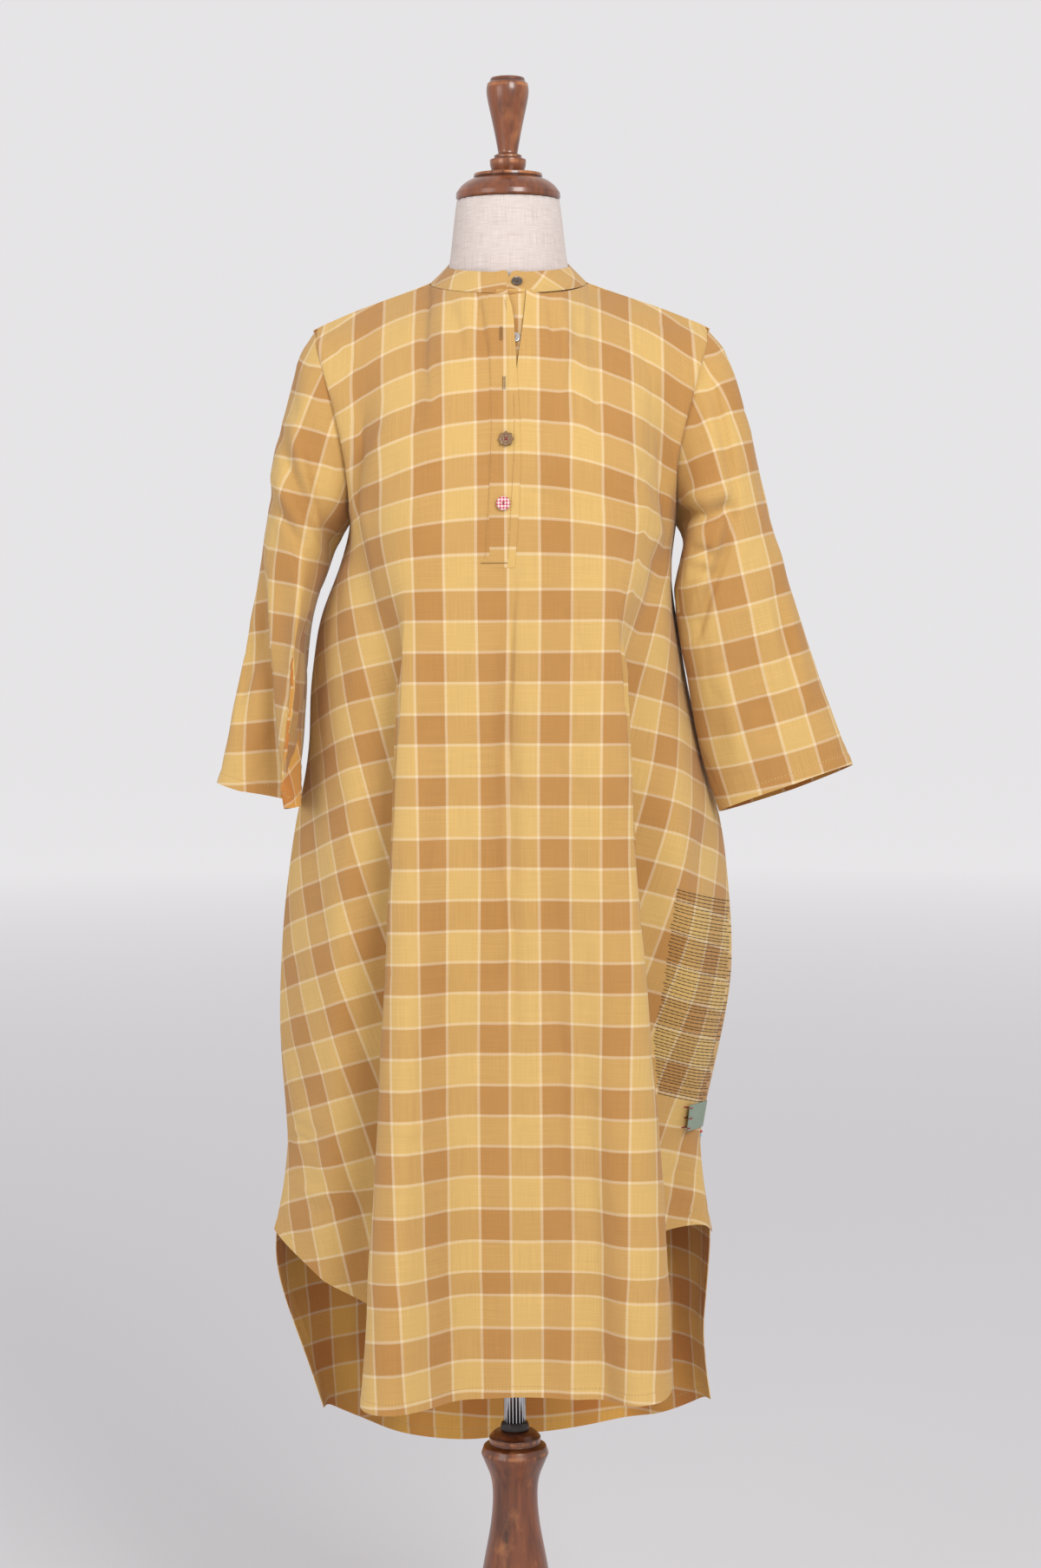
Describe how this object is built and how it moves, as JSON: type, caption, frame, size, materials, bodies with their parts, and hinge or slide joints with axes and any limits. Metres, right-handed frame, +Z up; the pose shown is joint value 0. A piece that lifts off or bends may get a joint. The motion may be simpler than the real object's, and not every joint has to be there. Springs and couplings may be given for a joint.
{
  "type": "kurta on a limbless dress form with a turned wooden stand",
  "caption": "Knee-length band-collar cotton kurta with wide sleeves, side vents and a rounded longer back, worn by a limbless linen dress form on a turned wooden stand.",
  "frame": {"origin": "on the floor under the pole's axis, the middle of the box round the whole part", "axes": "+Z up, -Y out of the front of the garment, +X to the viewer's right"},
  "size_m": [0.683, 0.5946, 1.776],
  "materials": {
    "check_cotton": "matte plain-woven cotton with a yellow and tan check",
    "green_cotton": "matte pale green cotton",
    "linen": "matte off-white linen",
    "stained_wood": "red-brown stained hardwood under gloss varnish",
    "chrome_pole": "polished chrome",
    "button_metal": "dark aged metal",
    "button_pearl": "pale pearl gloss",
    "button_wood": "brown matt wood with a scalloped edge",
    "button_cloth": "pink and white check under clear gloss"
  },
  "bodies": {
    "root": {"front": "check_cotton", "back": "check_cotton", "sleeve_right": "check_cotton", "sleeve_left": "check_cotton", "collar": "check_cotton", "placket_over": "check_cotton", "placket_under": "check_cotton", "seam_tab": "green_cotton", "button_collar": "button_metal", "button_pearl": "button_pearl", "button_flower": "button_wood", "button_check": "button_cloth", "form_body": "linen", "form_cap": "stained_wood", "stand_pole": "chrome_pole", "stand_column": "stained_wood", "stand_leg_1": "stained_wood", "stand_leg_2": "stained_wood", "stand_leg_3": "stained_wood"}
  },
  "joints": []
}
